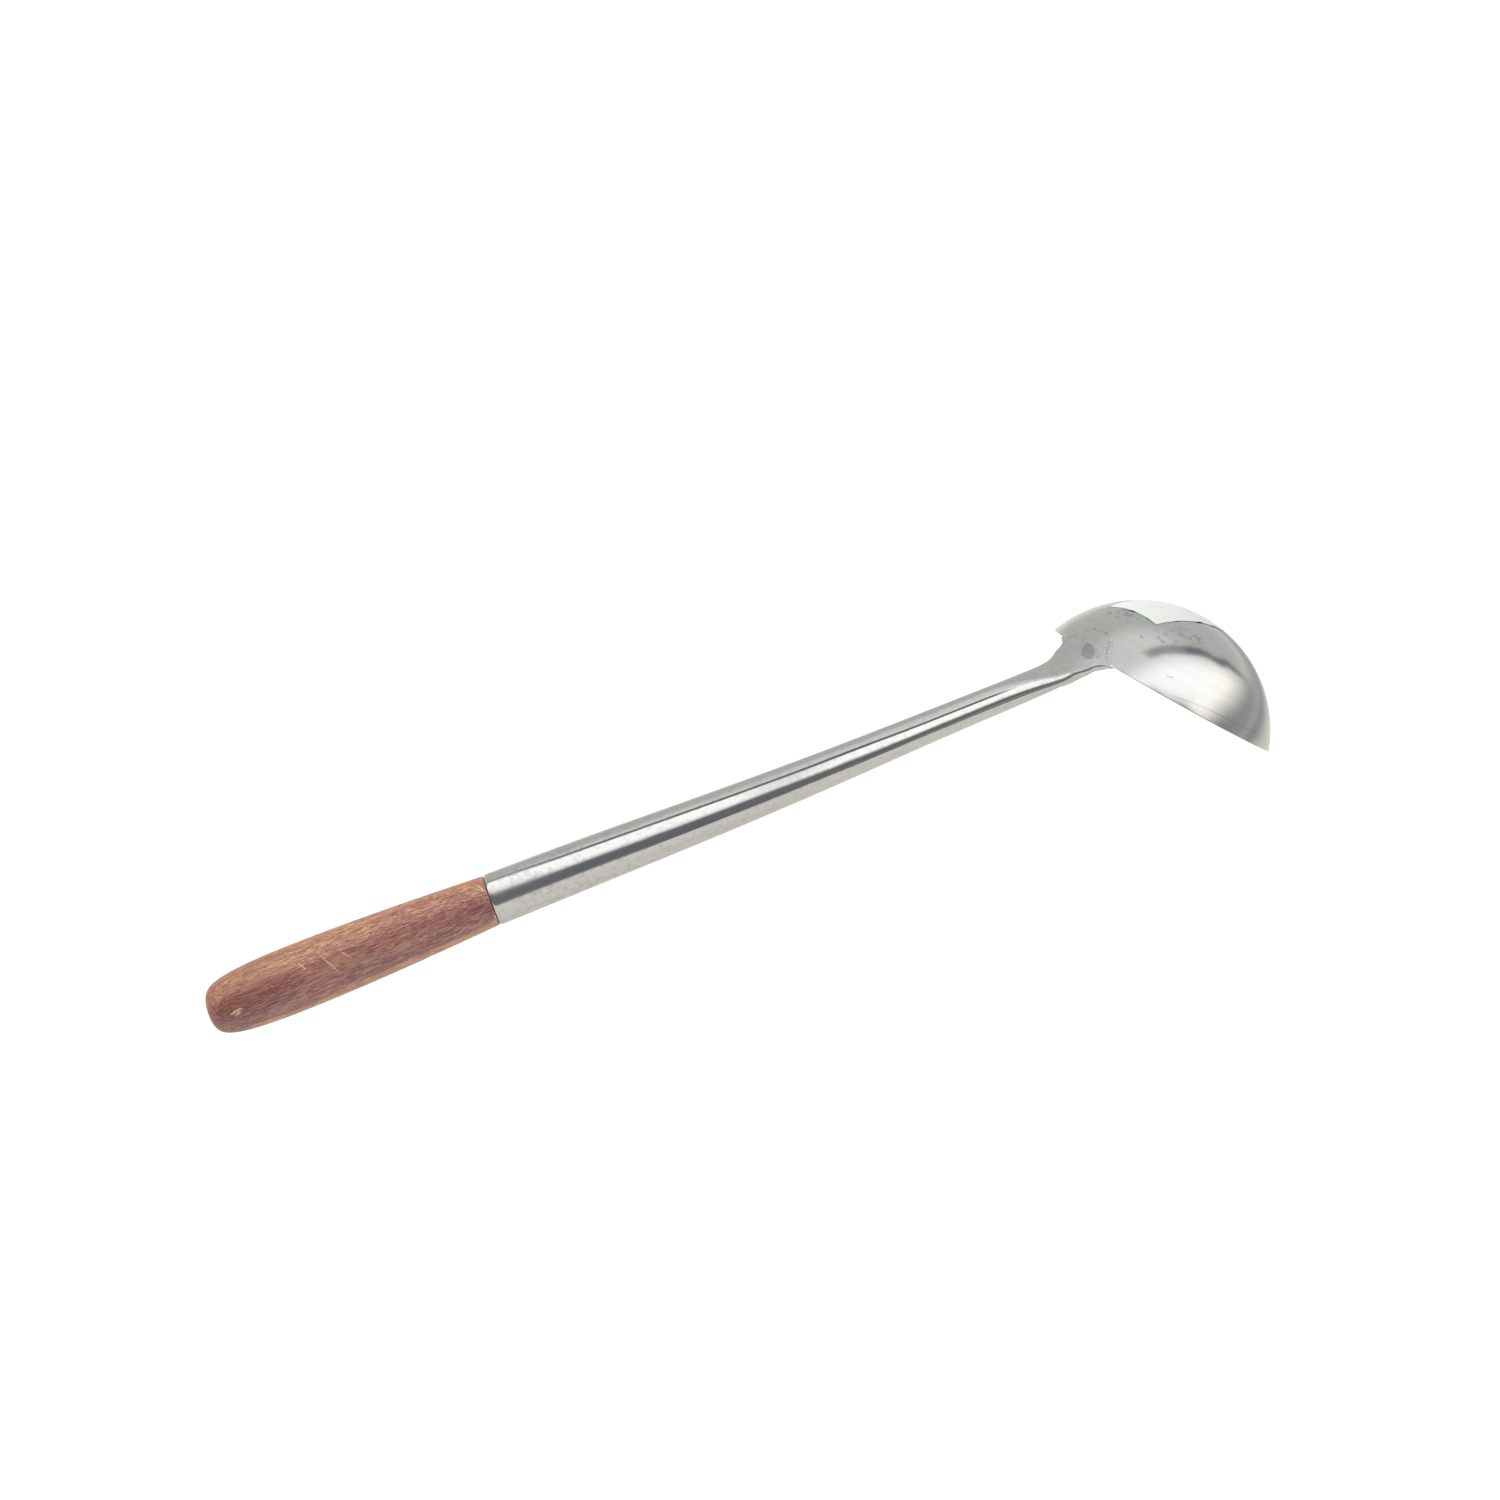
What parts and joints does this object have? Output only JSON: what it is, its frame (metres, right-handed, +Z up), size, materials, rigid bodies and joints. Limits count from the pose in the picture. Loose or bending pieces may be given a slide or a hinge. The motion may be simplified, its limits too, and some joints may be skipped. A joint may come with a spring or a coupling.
{
  "type": "wok ladle",
  "caption": "Wok ladle with a round pressed steel bowl, a rolled tube handle flattened and welded on to it, and a turned wooden grip.",
  "frame": {"origin": "on the table, under the middle of the ladle's bounding box as it lies mouth down", "axes": "+X from the bowl to the grip, +Y across the ladle, +Z up from the table; XZ is the mirror plane"},
  "size_m": [0.4754, 0.12, 0.0793],
  "materials": {
    "bowl_steel": "satin polished inside and out, with faint spinning rings and dull stains",
    "shank_steel": "satin polished, matte on its flat top",
    "nail_steel": "plain wire nail",
    "wood": "reddish brown hardwood, turned, oiled",
    "paper": "blank white paper with a thin green edge line"
  },
  "bodies": {
    "root": {"bowl": "bowl_steel", "shank": "shank_steel", "grip": "wood", "grip_nail": "nail_steel", "paper_label": "paper"}
  },
  "joints": []
}
